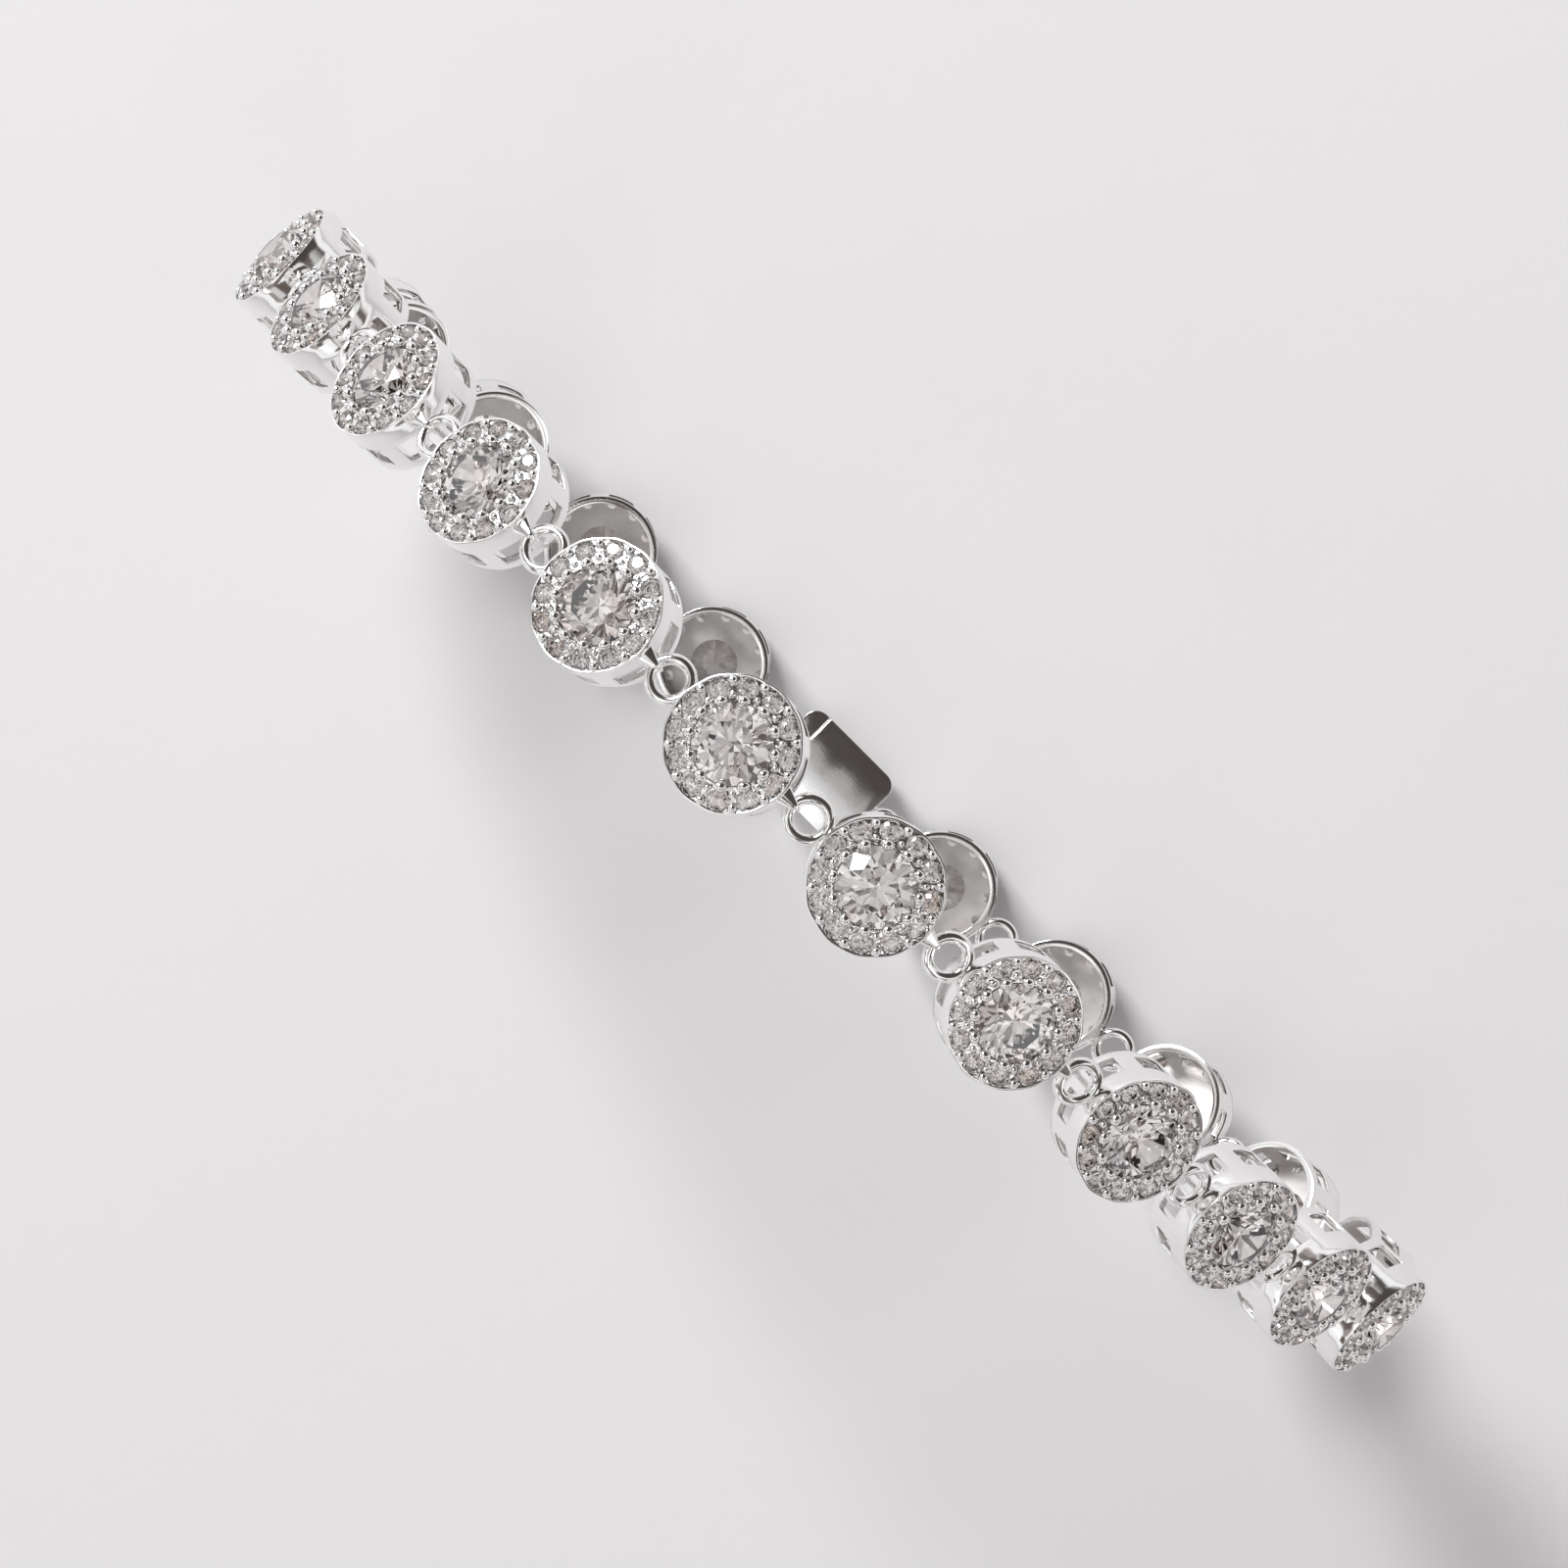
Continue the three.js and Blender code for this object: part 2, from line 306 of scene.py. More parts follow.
def brilliant(radius, table, crown, pavilion, sides):
    """A full-cut round brilliant with its girdle at height 0, cut from a rod facet by facet."""
    bm = bmesh.new()
    girdle = GIRDLE_SHARE * radius
    half_facet = math.cos(math.pi / FACETS)
    bmesh.ops.create_cone(
        bm,
        cap_ends=True,
        segments=sides,
        radius1=radius,
        radius2=radius,
        depth=2 * (crown + pavilion),
    )
    slice_mesh(bm, (0, 0, crown), (0, 0, 1))
    bmesh.ops.holes_fill(bm, edges=bm.edges[:])
    crown_slope = (crown - girdle) / (radius - table)
    tip_radius = (1 - STAR_SHARE) * radius + STAR_SHARE * table * half_facet
    tip_height = crown - crown_slope * (tip_radius * half_facet - table)
    pavilion_slope = (pavilion - girdle) / radius
    low_radius = LOWER_GIRDLE_SHARE * radius
    low_height = pavilion_slope * low_radius * half_facet - pavilion
    culet = Vector((0, 0, -pavilion))
    for step in range(FACETS):
        corner = on_circle(table, step, crown)
        side = Vector((-corner.y, corner.x, 0))
        facet(bm, corner, corner + side, on_circle(radius, step, girdle))
        facet(bm, culet, culet + side, on_circle(radius, step, -girdle))
    for step in range(FACETS):
        corner = on_circle(table, step, crown)
        tip = on_circle(tip_radius, step + 0.5, tip_height)
        facet(bm, corner, on_circle(table, step + 1, crown), tip)
    for step in range(2 * FACETS):
        half = step / 2
        valley = math.floor(half) + 0.5
        first = on_circle(radius, half, girdle)
        second = on_circle(radius, half + 0.5, girdle)
        facet(bm, first, second, on_circle(tip_radius, valley, tip_height))
        first = on_circle(radius, half, -girdle)
        second = on_circle(radius, half + 0.5, -girdle)
        facet(bm, first, second, on_circle(low_radius, valley, low_height))
    bmesh.ops.remove_doubles(bm, verts=bm.verts, dist=SAME_POINT)
    bmesh.ops.recalc_face_normals(bm, faces=bm.faces)
    return bm


# The setting

# Material slots of a setting; the first one, 0, is the polished silver
CUT_SILVER = 1
# Slot 2 holds the darker inner silver, painted shade for the faces inside a setting.
SATIN_PAINTED_SHADE = 2
WALL_STEPS = 120
WINDOWS = 8
WINDOW_SHARE = 0.6
BEAD_SIDES = 14
WIRE_SIDES = 16
RING_STEPS = 56
SEAT_STEPS = 20


def in_window(point):
    """True if a point lies in the angle of a window."""
    turn = math.atan2(point.y, point.x) / math.tau * WINDOWS
    return abs(turn % 1 - 0.5) < WINDOW_SHARE / 2


def direction(edge):
    """Which way an edge lies from the axis."""
    middle = edge.verts[0].co + edge.verts[1].co
    return Vector((middle.x, middle.y, 0)).normalized()


def side_wall(sizes):
    """The drum: a tapered wall with a ring at its base, eight windows and a bright rim."""
    bm = bmesh.new()
    sill = sizes.base_z + sizes.base_ring
    head = sill + sizes.window
    inner = sizes.radius - sizes.wall
    low = sizes.top_z - sizes.rim_lip
    outer_levels = [sizes.base_z, sill, head, 0.0, sizes.rim_z / 2, sizes.rim_z]
    outline = [(sizes.wall_radius(level), level) for level in outer_levels]
    outline += [
        (sizes.radius - sizes.rim, sizes.rim_z),
        (sizes.radius - sizes.rim, low),
        (inner, low),
        (sizes.wall_radius(head) - sizes.wall, head),
        (sizes.wall_radius(sill) - sizes.wall, sill),
        (sizes.wall_radius(sizes.base_z) - sizes.wall, sizes.base_z),
    ]
    faces = skin_about_z(bm, outline, WALL_STEPS)
    glass = []
    for face in faces:
        middle = face.calc_center_median()
        if sill < middle.z < head and abs(face.normal.z) < 0.5 and in_window(middle):
            glass.append(face)
    bmesh.ops.delete(bm, geom=glass, context="FACES")
    border = [edge for edge in bm.edges if edge.is_boundary]
    for window in range(WINDOWS):
        angle = math.tau * (window + 0.5) / WINDOWS
        way = Vector((math.cos(angle), math.sin(angle), 0))
        near = math.cos(math.pi / WINDOWS)
        loops = [edge for edge in border if direction(edge).dot(way) > near]
        bmesh.ops.bridge_loops(bm, edges=loops)
    bmesh.ops.recalc_face_normals(bm, faces=bm.faces)
    # Painted shade: the inward faces of the drum below the stones take the darker inner silver, standing
    # in for the shade inside the setting.
    for face in bm.faces:
        middle = face.calc_center_median()
        if middle.z < low and face.normal.xy.dot(middle.xy.normalized()) < -0.7:
            face.material_index = SATIN_PAINTED_SHADE
    soften(bm, bm.faces[:], sizes.edge)
    scallop_rim(bm, sizes)
    return bm


def scallop_rim(bm, sizes):
    """Draws the rim in between the halo stones, fading out down the wall."""
    for vert in bm.verts:
        fade = max(0.0, min(1.0, vert.co.z / sizes.rim_z))
        angle = math.atan2(vert.co.y, vert.co.x)
        depth = sizes.scallop * fade * (1 - math.cos(sizes.count * angle)) / 2
        reach = math.hypot(vert.co.x, vert.co.y)
        if reach > sizes.radius - sizes.wall:
            vert.co.xy *= (reach - depth) / reach


def stone_plate(sizes):
    """The plate with its central seat and the countersunk holes of the halo stones."""
    bm = bmesh.new()
    slope = sizes.girdle / sizes.pavilion
    play = 0.04
    foot = sizes.plate_z
    seat_foot = sizes.girdle - slope * (sizes.rim_z - foot) + play
    outline = [
        (sizes.radius - sizes.rim / 2, sizes.top_z),
        (sizes.girdle + sizes.countersink, sizes.top_z + sizes.crowning),
        (sizes.girdle - 0.02, sizes.top_z + sizes.crowning - sizes.countersink),
        (seat_foot, foot),
        (sizes.radius - sizes.wall / 2, foot),
    ]
    skin_about_z(bm, outline, WALL_STEPS)
    drill = bmesh.new()
    half = sizes.halo / 2
    seat = sizes.top_z + sizes.halo_seat
    levels = [
        (0.0, sizes.top_z + 0.2),
        (half + sizes.countersink + 0.05, sizes.top_z + 0.2),
        (half + sizes.countersink, sizes.top_z + 0.06),
        (half + 0.01, seat - 0.1),
        (half * 0.55, foot - 0.05),
        (0.0, foot - 0.05),
    ]
    skin_about_z(drill, levels, SEAT_STEPS)
    bmesh.ops.remove_doubles(drill, verts=drill.verts, dist=SAME_POINT)
    bmesh.ops.recalc_face_normals(drill, faces=drill.faces)
    holes = bmesh.new()
    for place in around(sizes.count, sizes.halo_circle):
        add_mesh(holes, drill, place)
    drill.free()
    return cut_away(bm, holes)


def cut_away(bm, holes):
    """One bmesh less another, by the exact boolean."""
    scene = bpy.context.scene
    objects = []
    for source in (bm, holes):
        mesh = bpy.data.meshes.new("cut")
        source.to_mesh(mesh)
        source.free()
        body = bpy.data.objects.new("cut", mesh)
        scene.collection.objects.link(body)
        objects.append(body)
    modifier = objects[0].modifiers.new("cut", "BOOLEAN")
    modifier.operation = "DIFFERENCE"
    modifier.solver = "EXACT"
    modifier.object = objects[1]
    evaluated = objects[0].evaluated_get(bpy.context.evaluated_depsgraph_get())
    result = bmesh.new()
    result.from_mesh(evaluated.to_mesh())
    evaluated.to_mesh_clear()
    for body in objects:
        mesh = body.data
        bpy.data.objects.remove(body)
        bpy.data.meshes.remove(mesh)
    return result


def dome(width, depth):
    """A small polished bead, longer one way."""
    bm = bmesh.new()
    bmesh.ops.create_uvsphere(bm, u_segments=BEAD_SIDES, v_segments=9, radius=0.5)
    bmesh.ops.scale(bm, vec=(depth, width, depth), verts=bm.verts)
    return bm


def stem(width, depth, height):
    """The post under a bead."""
    bm = bmesh.new()
    bmesh.ops.create_cone(
        bm, cap_ends=True, segments=BEAD_SIDES, radius1=0.6, radius2=0.46, depth=1
    )
    bmesh.ops.scale(bm, vec=(depth, width, height), verts=bm.verts)
    bmesh.ops.translate(bm, vec=(0, 0, -height / 2), verts=bm.verts)
    return bm


def beads_and_prongs(sizes):
    """Twelve prong tips over the centre stone, and two circles of beads between the halo stones."""
    bm = bmesh.new()
    rows = [
        (sizes.prong_circle / 2, 0.0, sizes.prong, 0.86, sizes.rim_z + 0.13),
        (sizes.radius - sizes.rim - 0.2, 0.5, sizes.outer_bead, 1.0, sizes.top_z + 0.08),
        (sizes.girdle + 0.34, 0.5, sizes.inner_bead, 1.0, sizes.top_z + 0.09),
    ]
    for radius, offset, width, squash, level in rows:
        depth = width * squash
        tip = dome(width, depth)
        post = stem(width, depth, level - sizes.plate_z - 0.05)
        for place in around(sizes.count, radius, level, offset):
            add_mesh(bm, tip, place)
            add_mesh(bm, post, place)
        tip.free()
        post.free()
    return bm


def wire_ring(sizes):
    """The soldered ring of round wire, with its near side let into the wall."""
    bm = bmesh.new()
    half = sizes.wire / 2
    outline = []
    for side in range(WIRE_SIDES):
        angle = math.tau * side / WIRE_SIDES
        outline.append((sizes.ring_mid + half * math.cos(angle), half * math.sin(angle)))
    skin_about_z(bm, outline, RING_STEPS)
    bmesh.ops.translate(bm, vec=(sizes.ring_x, 0, 0), verts=bm.verts)
    return bm


def tongue_stations(sizes):
    """The tongue's line from the side, from the wall over the wire, down and back to the wall.

    Each station is (x, height, slope of the line, width).
    """
    root_x = sizes.radius - 0.1
    tip_x = sizes.tongue_reach + sizes.wire / 2 + sizes.hook_play
    slope = 0.2
    shoulder = tip_x - 0.2
    high = sizes.tongue_rise - slope * (shoulder - root_x)
    low = -sizes.tongue_depth
    stations = []

    def width(x):
        """The tongue narrows evenly to its tip."""
        share = (tip_x - x) / (tip_x - root_x)
        return sizes.tongue_tip + (sizes.tongue_root - sizes.tongue_tip) * share

    for step in range(7):
        x = root_x + (shoulder - root_x) * step / 6
        height = sizes.tongue_rise - slope * (x - root_x)
        stations.append((x, height, -math.atan(slope), width(x)))
    middle = (high + low) / 2
    for step in range(1, 12):
        angle = math.pi / 2 - math.pi * step / 12
        x = shoulder + (tip_x - shoulder) * math.cos(angle)
        height = middle + (high - low) / 2 * math.sin(angle)
        stations.append((x, height, angle - math.pi / 2, width(x) if step < 6 else width(tip_x)))
    for step in range(4):
        share = step / 3
        x = shoulder + (root_x - shoulder) * share
        stations.append((x, low, -math.pi, sizes.tongue_tip * (1 + 2 * share)))
    return stations


def tongue(sizes):
    """The pointed tongue with raised edges, bent down through the next ring and back to the wall."""
    bm = bmesh.new()
    half = [(0.0, 0.025), (0.28, 0.0), (0.41, -0.06), (0.5, -0.16)]
    across = [(-share, rise) for share, rise in reversed(half[1:])] + half
    row = None
    for x, height, direction, width in tongue_stations(sizes):
        lift = Vector((-math.sin(direction), 0, math.cos(direction)))
        middle = Vector((x, 0, height))
        places = [middle + Vector((0, width * share, 0)) + lift * width * rise for share, rise in across]
        if row is None:
            row = [bm.verts.new(place) for place in places]
            edges = [bm.edges.new(pair) for pair in zip(row, row[1:])]
            continue
        grown = bmesh.ops.extrude_edge_only(bm, edges=edges)["geom"]
        row = [item for item in grown if isinstance(item, bmesh.types.BMVert)]
        edges = [item for item in grown if isinstance(item, bmesh.types.BMEdge)]
        row.sort(key=lambda vert: vert.co.y)
        for vert, place in zip(row, places):
            vert.co = place
    bmesh.ops.recalc_face_normals(bm, faces=bm.faces)
    faces = bm.faces[:]
    upward = sum(face.normal.z for face in faces if face.calc_center_median().z > 0)
    if upward < 0:
        bmesh.ops.reverse_faces(bm, faces=faces)
    bmesh.ops.solidify(bm, geom=faces, thickness=sizes.tongue_metal)
    bmesh.ops.recalc_face_normals(bm, faces=bm.faces)
    return bm


def setting_mesh(sizes):
    """All the silver of one setting, soldered together."""
    bm = bmesh.new()
    for part in (side_wall, stone_plate, beads_and_prongs, wire_ring, tongue):
        piece = part(sizes)
        # Painted shade: the plate's seats, hole walls and underside take the darker inner silver,
        # standing in for the shade under the stones; its upward faces take the graver-cut silver.
        if part is stone_plate:
            for face in piece.faces:
                face.material_index = CUT_SILVER if face.normal.z > 0.3 else SATIN_PAINTED_SHADE
        add_mesh(bm, piece)
        piece.free()
    return bm


def halo_stone_mesh(sizes):
    """The small brilliants round the centre stone, each turned and tipped a little."""
    bm = bmesh.new()
    half = sizes.halo / 2
    stone = brilliant(half, 0.57 * half, 0.3 * half, 0.86 * half, 16)
    chance = random.Random(12)
    for place in around(sizes.count, sizes.halo_circle, sizes.top_z + sizes.halo_seat + 0.03):
        turn = Matrix.Rotation(chance.uniform(0, math.tau), 4, "Z")
        tip = Matrix.Rotation(math.radians(chance.uniform(-4, 4)), 4, "X")
        lean = Matrix.Rotation(math.radians(chance.uniform(5, 11)), 4, "Y")
        add_mesh(bm, stone, place @ lean @ tip @ turn)
    stone.free()
    return bm


def centre_stone_mesh(sizes):
    """The centre stone, a full round brilliant."""
    stone = brilliant(sizes.girdle, sizes.table / 2, sizes.crown, sizes.pavilion, 48)
    bmesh.ops.translate(stone, vec=(0, 0, sizes.rim_z), verts=stone.verts)
    return stone


def clasp_mesh(sizes):
    """A plain box clasp with soft edges, a seam, and the same ring and tongue as a setting."""
    bm = bmesh.new()
    bmesh.ops.create_cube(bm, size=1)
    size = (sizes.diameter, sizes.clasp_width, sizes.clasp_height)
    bmesh.ops.scale(bm, vec=size, verts=bm.verts)
    upright = [edge for edge in bm.edges if abs(edge.verts[0].co.z - edge.verts[1].co.z) > 0.5]
    bmesh.ops.bevel(bm, geom=upright, offset=0.8, segments=8, affect="EDGES", profile=0.5, material=-1)
    seam = (sizes.diameter / 2 - 1.1, sizes.diameter / 2 - 1.0)
    for x in seam:
        slice_mesh(bm, (x, 0, 0), (1, 0, 0), clear_outer=False)
    groove = []
    for face in bm.faces:
        middle = face.calc_center_median()
        if seam[0] < middle.x < seam[1]:
            groove.append(face)
    bmesh.ops.inset_region(bm, faces=groove, thickness=0.012, depth=-0.09, use_even_offset=True)
    soften(bm, bm.faces[:], 0.16, math.radians(60), 4)
    bmesh.ops.translate(bm, vec=(0, 0, sizes.rim_z - sizes.clasp_height / 2), verts=bm.verts)
    for part in (wire_ring, tongue):
        piece = part(sizes)
        add_mesh(bm, piece)
        piece.free()
    return bm


# Places, read from the solids

def solid_points(name):
    """The different corners of a CAD node."""
    seen = {}
    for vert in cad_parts[name].data.vertices:
        seen[tuple(round(value, 7) for value in vert.co)] = vert.co.copy()
    return list(seen.values())


def mean(points):
    """The middle of some points."""
    return sum(points, Vector()) / len(points)


def farthest(points, distance):
    """The middle of the points that lie farthest by a measure."""
    most = max(distance(point) for point in points)
    return mean([point for point in points if distance(point) > most - 0.002 * MM])


def basis(origin, along, outward):
    """A placing matrix in metres for a mesh in millimetres."""
    across = outward.cross(along).normalized()
    turn = Matrix((along, across, outward)).transposed().to_4x4()
    return Matrix.Translation(origin) @ turn @ Matrix.Scale(MM, 4)


def link_place(number, sizes):
    """Where a setting is: its axis from the centre stone, its direction from its ring."""
    stone = solid_points(f"centre_stone_{number}")
    middle = mean(stone)
    culet = farthest(stone, lambda point: (point - middle).length)
    outward = (middle - culet).normalized()

    def off_axis(point):
        """How far a point lies from the setting's axis."""
        return (point - middle - outward * (point - middle).dot(outward)).length

    girdle = farthest(stone, off_axis)
    ring = farthest(solid_points(f"link_{number}"), off_axis)
    along = girdle - ring
    along = (along - outward * along.dot(outward)).normalized()
    return basis(girdle - outward * sizes.hinge_below_rim * MM, along, outward)


def clasp_place(sizes):
    """The clasp spans from the last setting's tongue to the first setting's ring."""
    start = link_place(LINKS[-1], sizes) @ Vector((sizes.tongue_reach, 0, 0))
    end = link_place(LINKS[0], sizes) @ Vector((-sizes.ring_reach, 0, 0))
    along = (end - start).normalized()
    outward = along.cross(Vector((0, 1, 0))).normalized()
    return basis(start + along * sizes.ring_reach * MM, along, outward)


def piece(name, bm, place, materials, slot, node=None, crisp=math.radians(30)):
    """An object from a bmesh, with its place in its mesh, riding on the frame."""
    mesh = bpy.data.meshes.new(name)
    bm.to_mesh(mesh)
    mesh.transform(place)
    if crisp:
        shade(mesh, crisp)
    for material in materials:
        mesh.materials.append(material)
    body = bpy.data.objects.new(name, mesh)
    bpy.context.scene.collection.objects.link(body)
    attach(body, BODY)
    if node:
        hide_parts(node)
    return body


# Materials

class Socket:
    """A node's output. Arithmetic on it adds Math nodes."""

    def __init__(self, shader, output):
        self.shader = shader
        self.output = output

    def math(self, operation, first, second):
        """A Math node on two values."""
        return self.shader.add("ShaderNodeMath", {"operation": operation}, {0: first, 1: second})

    def __add__(self, other):
        return self.math("ADD", self, other)

    def __radd__(self, other):
        return self.math("ADD", other, self)

    def __sub__(self, other):
        return self.math("SUBTRACT", self, other)

    def __rsub__(self, other):
        return self.math("SUBTRACT", other, self)

    def __mul__(self, other):
        return self.math("MULTIPLY", self, other)

    def __rmul__(self, other):
        return self.math("MULTIPLY", other, self)

    def __truediv__(self, other):
        return self.math("DIVIDE", self, other)

    def __rtruediv__(self, other):
        return self.math("DIVIDE", other, self)

    def __pow__(self, other):
        return self.math("POWER", self, other)


class Shader:
    """A node tree that is filled through one method."""

    def __init__(self, owner):
        owner.use_nodes = True
        self.tree = owner.node_tree
        self.tree.nodes.clear()

    def add(self, kind, settings=None, inputs=None, output=0):
        """Adds a node, with its settings first and then its sockets' values or links."""
        node = self.tree.nodes.new(kind)
        for name, value in (settings or {}).items():
            if name == "stops":
                self.fill_ramp(node.color_ramp, value)
            else:
                setattr(node, name, value)
        for name, value in (inputs or {}).items():
            if isinstance(value, Socket):
                self.tree.links.new(value.output, node.inputs[name])
            else:
                node.inputs[name].default_value = value
        return Socket(self, node.outputs[output]) if node.outputs else None

    def fill_ramp(self, ramp, stops):
        """Gives a colour ramp its stops, each a position and a colour."""
        while len(ramp.elements) < len(stops):
            ramp.elements.new(1)
        for element, (position, colour) in zip(ramp.elements, stops):
            element.position = position
            element.color = colour

    def mix(self, factor, first, second):
        """A mix of two colours."""
        return self.add(
            "ShaderNodeMix",
            {"data_type": "RGBA"},
            {0: factor, 6: first, 7: second},
            output=2,
        )


def rgba(colour):
    """A colour with full alpha."""
    return (*colour, 1.0)


def silver_material(finish):
    """Bright polished silver: fine polishing marks, soft patches and a few duller spots."""
    material = bpy.data.materials.new("bright_silver")
    shader = Shader(material)
    place = shader.add("ShaderNodeTexCoord", output=3)
    patches = shader.add("ShaderNodeTexNoise", {}, {"Vector": place, "Scale": 420.0, "Detail": 3.0})
    stretched = shader.add("ShaderNodeMapping", {}, {"Vector": place, "Scale": (1.0, 6.0, 2.0)})
    marks = shader.add("ShaderNodeTexNoise", {}, {"Vector": stretched, "Scale": 2600.0, "Detail": 4.0})
    grain = shader.add("ShaderNodeTexNoise", {}, {"Vector": place, "Scale": 9000.0, "Detail": 2.0})
    dull = shader.add(
        "ShaderNodeValToRGB",
        {"stops": [(0.52, (0, 0, 0, 1)), (0.78, (1, 1, 1, 1))]},
        {"Fac": patches},
    )
    colour = shader.mix(dull, rgba(finish.silver), rgba(finish.silver_shade))
    roughness = 0.06 + marks * 0.07 + dull * 0.08
    height = marks * 0.6 + grain * 0.4
    bump = shader.add(
        "ShaderNodeBump", {}, {"Height": height, "Strength": 0.12, "Distance": 0.00002}
    )
    surface = shader.add(
        "ShaderNodeBsdfPrincipled",
        {},
        {"Base Color": colour, "Metallic": 1.0, "Roughness": roughness, "Normal": bump},
    )
    shader.add("ShaderNodeOutputMaterial", {}, {"Surface": surface})
    return material


def cut_silver_material(finish):
    """Silver between the stones, cut bright with a graver, so that it glitters."""
    material = bpy.data.materials.new("graver_cut_silver")
    shader = Shader(material)
    place = shader.add("ShaderNodeTexCoord", output=3)
    cuts = shader.add(
        "ShaderNodeTexVoronoi", {"feature": "F1"}, {"Vector": place, "Scale": 4200.0, "Randomness": 1.0}
    )
    waves = shader.add("ShaderNodeTexNoise", {}, {"Vector": place, "Scale": 3000.0, "Detail": 2.0})
    tint = shader.mix(waves, rgba(finish.silver), rgba(finish.silver_shade))
    bump = shader.add(
        "ShaderNodeBump",
        {},
        {"Height": cuts * 0.6 + waves, "Strength": 0.5, "Distance": 0.00008},
    )
    surface = shader.add(
        "ShaderNodeBsdfPrincipled",
        {},
        {"Base Color": tint, "Metallic": 1.0, "Roughness": 0.08 + waves * 0.1, "Normal": bump},
    )
    shader.add("ShaderNodeOutputMaterial", {}, {"Surface": surface})
    return material


def satin_painted_shade_material(finish):
    """Satin-finished silver inside a setting, with a fine grain and dull patches, its colour much darker
    than the polished silver as painted shade inside the drum and under the stones.
    """
    material = bpy.data.materials.new("satin_silver")
    shader = Shader(material)
    place = shader.add("ShaderNodeTexCoord", output=3)
    patches = shader.add("ShaderNodeTexNoise", {}, {"Vector": place, "Scale": 900.0, "Detail": 3.0})
    grain = shader.add("ShaderNodeTexNoise", {}, {"Vector": place, "Scale": 16000.0, "Detail": 2.0})
    # Painted shade: the dark base colour, broken by lighter patches, stands in for the shade inside the
    # setting.
    colour = shader.mix(patches, rgba(finish.satin_painted_shade), rgba(finish.silver_shade))
    bump = shader.add(
        "ShaderNodeBump", {}, {"Height": grain, "Strength": 0.35, "Distance": 0.00003}
    )
    surface = shader.add(
        "ShaderNodeBsdfPrincipled",
        {},
        {"Base Color": colour, "Metallic": 1.0, "Roughness": 0.32 + patches * 0.2, "Normal": bump},
    )
    shader.add("ShaderNodeOutputMaterial", {}, {"Surface": surface})
    return material


def zirconia_material(finish):
    """Clear cubic zirconia. Warm flashes are painted into its colour: noise patches of a brownish tint
    stand in for coloured light flashing in the stones.
    """
    material = bpy.data.materials.new("cut_zirconia")
    shader = Shader(material)
    place = shader.add("ShaderNodeTexCoord", output=3)
    cells = shader.add("ShaderNodeTexNoise", {}, {"Vector": place, "Scale": 700.0, "Detail": 1.0})
    # Painted reflection: a noise mask that picks where the brownish flash tint is painted.
    painted_flash_mask = shader.add(
        "ShaderNodeValToRGB",
        {"stops": [(0.56, (0, 0, 0, 1)), (0.66, (1, 1, 1, 1))]},
        {"Fac": cells},
    )
    colour = shader.mix(painted_flash_mask, rgba(finish.stone), rgba(finish.painted_warm_flash))
    surface = shader.add(
        "ShaderNodeBsdfPrincipled",
        {},
        {"Base Color": colour, "Roughness": 0.0, "IOR": 2.16, "Transmission Weight": 1.0},
    )
    shader.add("ShaderNodeOutputMaterial", {}, {"Surface": surface})
    return material


def floor_material(finish):
    """A matt pale floor with a faint tooth."""
    material = bpy.data.materials.new("pale_floor")
    shader = Shader(material)
    place = shader.add("ShaderNodeTexCoord", output=3)
    tooth = shader.add("ShaderNodeTexNoise", {}, {"Vector": place, "Scale": 900.0, "Detail": 3.0})
    bump = shader.add(
        "ShaderNodeBump", {}, {"Height": tooth, "Strength": 0.15, "Distance": 0.0001}
    )
    surface = shader.add(
        "ShaderNodeBsdfPrincipled",
        {},
        {"Base Color": rgba(finish.floor), "Roughness": 0.9, "Normal": bump},
    )
    shader.add("ShaderNodeOutputMaterial", {}, {"Surface": surface})
    return material


def kept_material(name, make):
    """A material by name, made on first use."""
    found = bpy.data.materials.get(name)
    return found or make(bpy.context.scene.bracelet_finish)


# The stage, with places and widths in metres where a name says nothing else

PHOTO_PIXELS = 1600
FOCAL_PIXELS = 4614
SENSOR_MM = 36
CAMERA_MM = (3.62, 9.31, 191.12)
CAMERA_RIGHT = (0.7066, 0.7058, -0.0503)
CAMERA_BACK = (0.0237, 0.0475, 0.9986)
KEY_LIGHT_PLACE = (-0.615, 0.18, 0.495)
KEY_LIGHT_WIDTH = 0.27
KEY_LIGHT_POWER = 5.1
DARK_OPENING = (0.07, 0.061, 0.057, 1)
SOFT_FILL = (0.56, 0.54, 0.53, 1)
PALE_HORIZON = (0.95, 0.94, 0.95, 1)
BACKDROP_LOW = (0.29, 0.288, 0.292, 1)
BACKDROP_HIGH = (0.80, 0.795, 0.805, 1)
PANEL_STOPS = (
    (0.30, (0.12, 0.097, 0.088, 1)),
    (0.42, (0.34, 0.31, 0.295, 1)),
    (0.50, (0.56, 0.55, 0.555, 1)),
    (0.60, (0.80, 0.80, 0.80, 1)),
    (0.80, (1.2, 1.2, 1.2, 1)),
)
TRANSMISSION_RAY = 6
CAMERA_RAY = 0


def photo_camera():
    """The camera looks down on the crest from the photograph's side."""
    data = bpy.data.cameras.new("camera")
    data.sensor_width = SENSOR_MM
    data.lens = SENSOR_MM * FOCAL_PIXELS / PHOTO_PIXELS
    data.clip_start = 0.01
    camera = bpy.data.objects.new("camera", data)
    back = Vector(CAMERA_BACK).normalized()
    right = Vector(CAMERA_RIGHT)
    right = (right - back * right.dot(back)).normalized()
    turn = Matrix((right, back.cross(right), back)).transposed().to_4x4()
    camera.matrix_world = Matrix.Translation(Vector(CAMERA_MM) * MM) @ turn
    bpy.context.scene.collection.objects.link(camera)
    bpy.context.scene.camera = camera


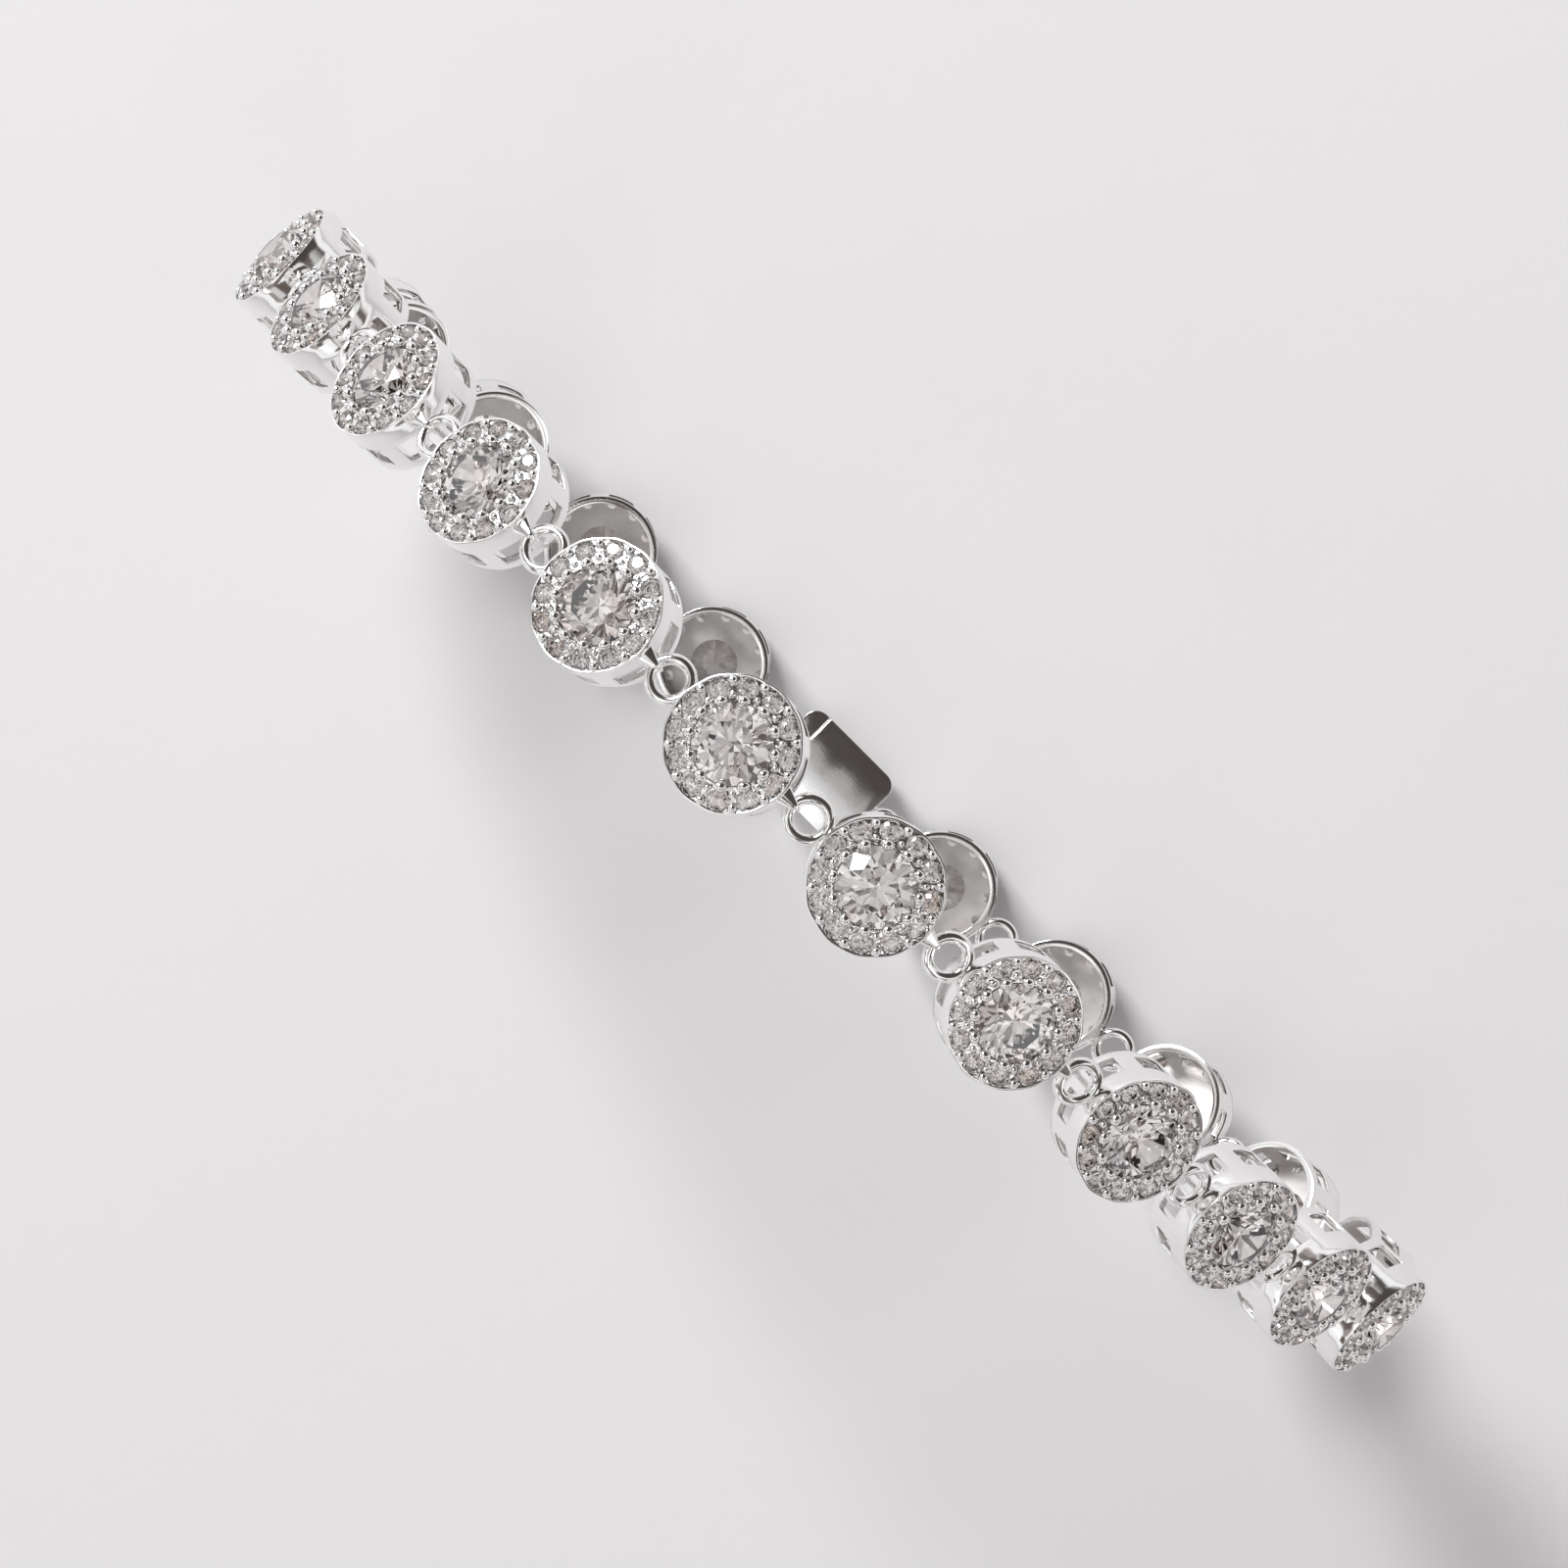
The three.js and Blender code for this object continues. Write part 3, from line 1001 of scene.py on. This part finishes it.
def studio_world():
    """A ceiling of soft panels with a dark opening high on one side, and a pale horizon all round.

    The stones see less of the opening than the metal does, and the camera sees a plain backdrop.
    """
    world = bpy.data.worlds.new("studio")
    bpy.context.scene.world = world
    shader = Shader(world)
    way = shader.add("ShaderNodeTexCoord")
    along, aside, height = (
        shader.add("ShaderNodeSeparateXYZ", {}, {"Vector": way}, output=axis) for axis in range(3)
    )
    cells = shader.add("ShaderNodeTexVoronoi", {}, {"Vector": way, "Scale": 4.5}, output=1)
    brightness = shader.add("ShaderNodeRGBToBW", {}, {"Color": cells})
    panels = shader.add("ShaderNodeValToRGB", {"stops": PANEL_STOPS}, {"Fac": brightness})
    through = shader.add("ShaderNodeLightPath", output=TRANSMISSION_RAY)
    opening = smooth_step(shader, aside, -0.10, 0.0) * smooth_step(shader, height, 0.16, 0.24)
    ends = smooth_step(shader, along, -0.7, -0.45) * smooth_step(shader, along, 0.65, 0.4)
    ceiling = shader.mix(opening * ends * (1.0 - through * 0.7), panels, DARK_OPENING)
    ceiling = shader.mix(through * 0.12, ceiling, SOFT_FILL)
    sky = shader.mix(smooth_step(shader, height, 0.26, 0.12), ceiling, PALE_HORIZON)
    backdrop = shader.mix(smooth_step(shader, height, 0.0, 0.4), BACKDROP_LOW, BACKDROP_HIGH)
    seen = shader.add("ShaderNodeLightPath", output=CAMERA_RAY)
    colour = shader.mix(seen, sky, backdrop)
    light = shader.add("ShaderNodeBackground", {}, {"Color": colour, "Strength": 1.0})
    shader.add("ShaderNodeOutputWorld", {}, {"Surface": light})


def smooth_step(shader, value, start, end):
    """Rises smoothly from 0 at the start to 1 at the end."""
    return shader.add(
        "ShaderNodeMapRange",
        {"interpolation_type": "SMOOTHSTEP"},
        {0: value, 1: start, 2: end, 3: 0.0, 4: 1.0},
    )


def key_light():
    """One soft square light that points at the crest and isn't seen through the stones."""
    data = bpy.data.lights.new("key_light", "AREA")
    data.size = KEY_LIGHT_WIDTH
    data.energy = KEY_LIGHT_POWER
    light = bpy.data.objects.new("key_light", data)
    light.visible_transmission = False
    light.location = KEY_LIGHT_PLACE
    light.rotation_euler = Vector(KEY_LIGHT_PLACE).to_track_quat("Z", "Y").to_euler()
    bpy.context.scene.collection.objects.link(light)


# Operators

class BRACELET_OT_settings(bpy.types.Operator):
    """Build the silver settings"""

    bl_idname = "bracelet.settings"
    bl_label = "Settings"

    def execute(self, context):
        sizes = Sizes(context.scene)
        materials = [
            kept_material("bright_silver", silver_material),
            kept_material("graver_cut_silver", cut_silver_material),
            kept_material("satin_silver", satin_painted_shade_material),
        ]
        bm = setting_mesh(sizes)
        for number in LINKS:
            place = link_place(number, sizes)
            piece(f"setting_{number}", bm, place, materials, SILVER_SLOT, f"link_{number}")
        bm.free()
        return {"FINISHED"}


class BRACELET_OT_halo_stones(bpy.types.Operator):
    """Set the small stones round each centre stone"""

    bl_idname = "bracelet.halo_stones"
    bl_label = "Halo stones"

    def execute(self, context):
        sizes = Sizes(context.scene)
        material = kept_material("cut_zirconia", zirconia_material)
        bm = halo_stone_mesh(sizes)
        for number in LINKS:
            place = link_place(number, sizes)
            piece(f"halo_stones_{number}", bm, place, [material], STONE_SLOT, crisp=0)
        bm.free()
        return {"FINISHED"}


class BRACELET_OT_centre_stones(bpy.types.Operator):
    """Set the centre stones"""

    bl_idname = "bracelet.centre_stones"
    bl_label = "Centre stones"

    def execute(self, context):
        sizes = Sizes(context.scene)
        material = kept_material("cut_zirconia", zirconia_material)
        bm = centre_stone_mesh(sizes)
        chance = random.Random(7)
        for number in LINKS:
            place = link_place(number, sizes)
            turn = Matrix.Rotation(chance.uniform(0, math.tau), 4, "Z")
            node = f"centre_stone_{number}"
            piece(f"brilliant_{number}", bm, place @ turn, [material], STONE_SLOT, node, crisp=0)
        bm.free()
        return {"FINISHED"}


class BRACELET_OT_clasp(bpy.types.Operator):
    """Build the box clasp"""

    bl_idname = "bracelet.clasp"
    bl_label = "Clasp"

    def execute(self, context):
        sizes = Sizes(context.scene)
        material = kept_material("bright_silver", silver_material)
        bm = clasp_mesh(sizes)
        piece("box_clasp", bm, clasp_place(sizes), [material], SILVER_SLOT, "clasp")
        bm.free()
        return {"FINISHED"}


class BRACELET_OT_stage(bpy.types.Operator):
    """Set the floor and the lights"""

    bl_idname = "bracelet.stage"
    bl_label = "Stage"

    def execute(self, context):
        lowest = CAD_BOX[0][2]
        bm = bmesh.new()
        bmesh.ops.create_grid(bm, x_segments=1, y_segments=1, size=3)
        bmesh.ops.translate(bm, vec=(0, 0, lowest - 0.5 * MM), verts=bm.verts)
        mesh = bpy.data.meshes.new("floor")
        bm.to_mesh(mesh)
        bm.free()
        mesh.materials.append(kept_material("pale_floor", floor_material))
        floor = bpy.data.objects.new("floor", mesh)
        context.scene.collection.objects.link(floor)
        studio_world()
        key_light()
        context.scene.view_settings.view_transform = "Standard"
        return {"FINISHED"}


class BRACELET_PT_panel(bpy.types.Panel):
    """Sizes, colours and steps of the bracelet"""

    bl_idname = "BRACELET_PT_panel"
    bl_label = "Tennis Bracelet"
    bl_space_type = "VIEW_3D"
    bl_region_type = "UI"
    bl_category = "Bracelet"

    def draw(self, context):
        for name in GROUPS:
            column = self.layout.column(align=True)
            group = getattr(context.scene, name)
            for item in group.bl_rna.properties:
                if item.identifier not in {"rna_type", "name"}:
                    column.prop(group, item.identifier)
        for step in STEPS:
            self.layout.operator(step.bl_idname)


STEPS = (
    BRACELET_OT_settings,
    BRACELET_OT_halo_stones,
    BRACELET_OT_centre_stones,
    BRACELET_OT_clasp,
    BRACELET_OT_stage,
)
CLASSES = (*GROUPS.values(), *STEPS, BRACELET_PT_panel)


def register():
    """Registers the classes and hangs the property groups on the scene."""
    for item in CLASSES:
        bpy.utils.register_class(item)
    for name, group in GROUPS.items():
        setattr(bpy.types.Scene, name, bpy.props.PointerProperty(type=group))


def unregister():
    """Takes the property groups and the classes away again."""
    for name in GROUPS:
        delattr(bpy.types.Scene, name)
    for item in reversed(CLASSES):
        bpy.utils.unregister_class(item)


def main():
    """Builds the whole scene."""
    register()
    photo_camera()
    bpy.ops.bracelet.settings()
    bpy.ops.bracelet.halo_stones()
    bpy.ops.bracelet.centre_stones()
    bpy.ops.bracelet.clasp()
    bpy.ops.bracelet.stage()


if __name__ == "__main__":
    main()
